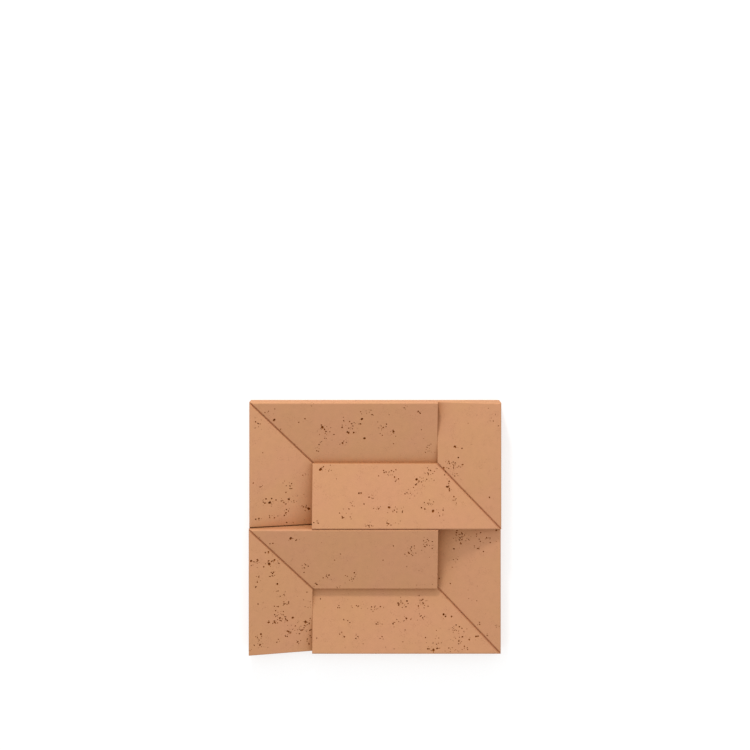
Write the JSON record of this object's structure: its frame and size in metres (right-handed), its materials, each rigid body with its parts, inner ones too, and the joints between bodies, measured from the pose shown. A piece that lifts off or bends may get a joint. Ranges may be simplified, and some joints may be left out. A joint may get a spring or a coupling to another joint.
{
  "type": "textured concrete wall panel",
  "caption": "Square cast concrete wall cladding panel with sloping facets folded round stepped valleys, and a flat back.",
  "frame": {"origin": "centre of the flat back face, which the panel lies on", "axes": "+Z out of the back face towards the relief, +Y up the wall as hung, +X to the right as hung"},
  "size_m": [0.5, 0.5, 0.0394],
  "materials": {
    "concrete": "cast through-coloured concrete, matt, with open pores"
  },
  "bodies": {
    "root": {"concrete_panel": "concrete"}
  },
  "joints": []
}
